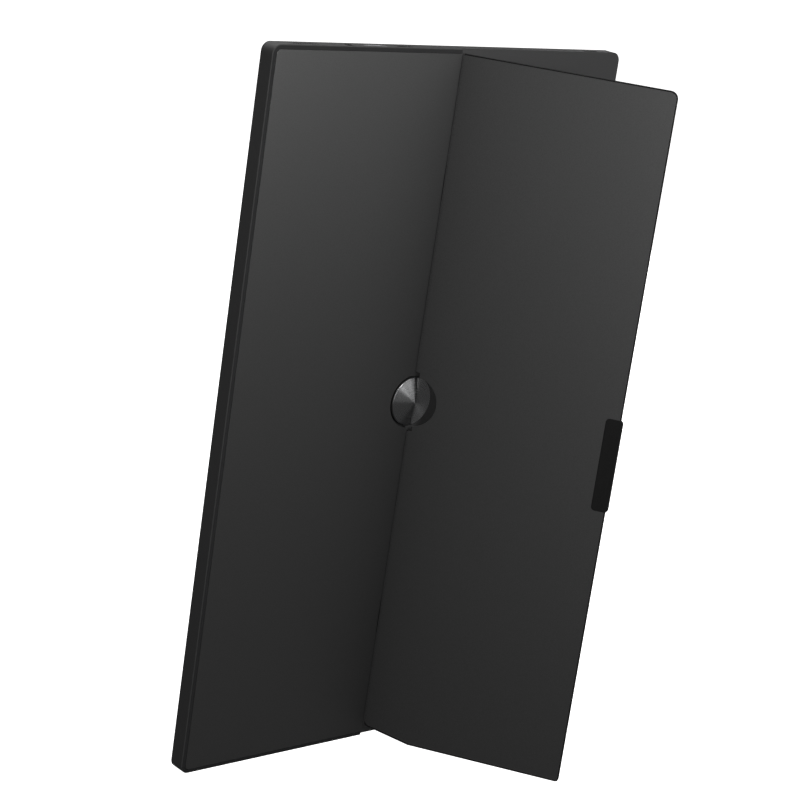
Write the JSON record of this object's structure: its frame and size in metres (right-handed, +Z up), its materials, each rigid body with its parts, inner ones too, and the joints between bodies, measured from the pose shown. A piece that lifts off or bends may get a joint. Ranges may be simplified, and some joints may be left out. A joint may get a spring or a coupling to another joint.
{
  "type": "portable monitor",
  "caption": "Slim portable monitor that stands on its short edge, with a hinged half-width back flap as its stand, sockets and a power key on one end.",
  "frame": {"origin": "middle of the short edge that it rests on, half-way through the slab's thickness without the raised panel", "axes": "+Z up along the long side, +Y from the screen towards the back, +X from the chin edge towards the edge with the fixed panel"},
  "size_m": [0.226, 0.0978, 0.36],
  "materials": {
    "housing_plastic": "fine satin dark grey moulding",
    "panel_metal": "dark anodised, satin with a fine grain",
    "grip_rubber": "matt black rubber",
    "hub_metal": "turned face with circular brush lines",
    "hub_plastic": "black, satin",
    "bezel_plastic": "black, satin",
    "screen_glass": "black anti-glare cell",
    "optical_film": "milky film",
    "light_guide": "clear acrylic",
    "reflector": "white reflector",
    "led": "yellow phosphor packages",
    "board": "green solder mask",
    "flex": "amber polyimide film",
    "plate_alloy": "plain rolled sheet",
    "plate_steel": "zinc-plated sheet",
    "hinge_steel": "ground steel, oiled",
    "bronze": "rolled bronze",
    "socket_steel": "stamped steel shell",
    "socket_plastic": "black moulding",
    "screw_steel": "black oxide"
  },
  "bodies": {
    "body": {"front_bezel": "bezel_plastic", "lcd_cell": "screen_glass", "film_stack": "optical_film", "light_guide": "light_guide", "reflector_sheet": "reflector", "led_bar": "led", "panel_tray": "plate_steel", "driver_board": "board", "driver_flexes": "flex", "chassis_plate": "plate_alloy", "rear_housing": "housing_plastic", "fixed_panel": "housing_plastic", "panel_plate": "panel_metal", "hinge_beam": "plate_steel", "upper_hinge_block": "hinge_steel", "upper_hinge_core": "hinge_steel", "upper_friction_strip": "bronze", "lower_hinge_block": "hinge_steel", "lower_hinge_core": "hinge_steel", "lower_friction_strip": "bronze", "main_board": "board", "board_shield": "plate_steel", "usb_c_socket": "socket_steel", "mini_video_socket": "socket_steel", "audio_jack": "socket_plastic", "upper_speaker": "socket_plastic", "lower_speaker": "socket_plastic", "upper_grille": "housing_plastic", "lower_grille": "housing_plastic", "key_board": "board", "key_switch": "socket_steel", "display_cable": "flex", "key_cable": "flex", "hub_seat": "hub_plastic", "hub_cap": "hub_metal", "hub_screw": "screw_steel", "chassis_screws": "screw_steel", "board_screws": "screw_steel", "hinge_screws": "screw_steel"},
    "flap": {"flap_liner": "housing_plastic", "flap_skin": "panel_metal", "flap_grip": "grip_rubber", "upper_hinge_leaf": "hinge_steel", "lower_hinge_leaf": "hinge_steel", "flap_screws": "screw_steel"},
    "key": {"power_key": "housing_plastic", "switch_plunger": "socket_plastic"}
  },
  "joints": [
    {"name": "flap_hinge", "type": "hinge", "parent": "body", "child": "flap", "pos_m": [-0.0025, 0.00565, 0.18], "axis": [0, 0, -1], "range_deg": [-56, 39]},
    {"name": "power_key_press", "type": "slide", "parent": "body", "child": "key", "axis": [0, 0, -1], "range_m": [0, 0.0003], "stiffness_N_per_m": 3000, "springref_m": -0.0001}
  ]
}
